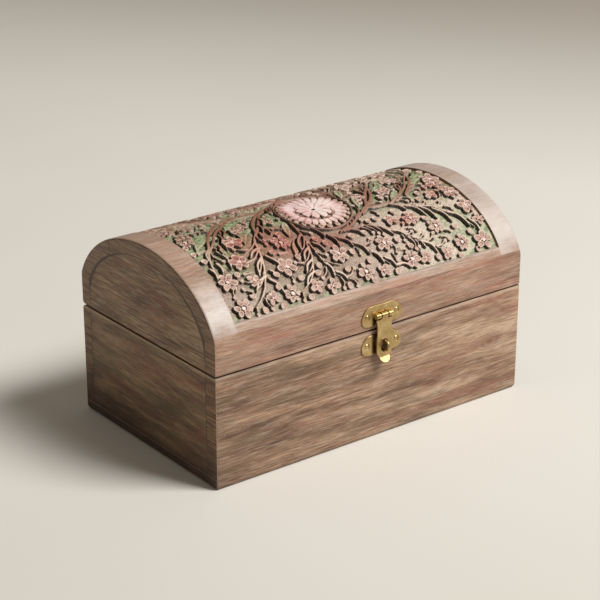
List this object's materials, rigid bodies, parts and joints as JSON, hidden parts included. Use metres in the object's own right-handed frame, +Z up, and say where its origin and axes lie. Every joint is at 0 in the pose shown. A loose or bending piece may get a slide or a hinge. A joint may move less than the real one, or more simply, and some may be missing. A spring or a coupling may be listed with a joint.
{
  "type": "carved wooden chest",
  "caption": "Small domed wooden keepsake chest with a low-relief floral carving sunk into the lid, a brass hasp over a staple at the front and butt hinges at the back.",
  "frame": {"origin": "centre of the flat underside, on the surface the chest stands on", "axes": "+X along the length towards the chest's right end, +Y towards the hinged back, +Z up"},
  "size_m": [0.205, 0.1308, 0.1134],
  "materials": {
    "board_wood": "washed and waxed",
    "end_wood": "washed and waxed",
    "carved_wood": "carved, washed with pink and green stain",
    "brass": "polished, lightly worn",
    "nail_steel": "dull"
  },
  "bodies": {
    "base": {"base_front_board": "board_wood", "base_back_board": "board_wood", "base_left_end": "end_wood", "base_right_end": "end_wood", "bottom_board": "board_wood", "base_corner_brads": "nail_steel", "bottom_brads": "nail_steel", "base_hinge_screws": "brass", "left_hinge_base_leaf": "brass", "right_hinge_base_leaf": "brass", "left_hinge_pin": "brass", "right_hinge_pin": "brass", "staple_plate": "brass", "staple_plate_pins": "brass", "staple_loop": "brass"},
    "lid": {"lid_front_rail": "board_wood", "lid_back_rail": "board_wood", "lid_left_end": "end_wood", "lid_right_end": "end_wood", "lid_crown_front": "carved_wood", "lid_crown_back": "carved_wood", "lid_carving_front": "carved_wood", "lid_carving_back": "carved_wood", "lid_corner_brads": "nail_steel", "lid_hinge_screws": "brass", "left_hinge_lid_leaf": "brass", "right_hinge_lid_leaf": "brass", "hasp_plate": "brass", "hasp_plate_pins": "brass", "hasp_hinge_pin": "brass"},
    "strap": {"hasp_strap": "brass"}
  },
  "joints": [
    {"name": "lid_open", "type": "hinge", "parent": "base", "child": "lid", "pos_m": [0, 0.06015, 0.062], "axis": [-1, 0, 0], "range_deg": [0, 104]},
    {"name": "strap_lift", "type": "hinge", "parent": "lid", "child": "strap", "pos_m": [0.0028, -0.06395, 0.0698], "axis": [-1, 0, 0], "range_deg": [0, 180]}
  ]
}
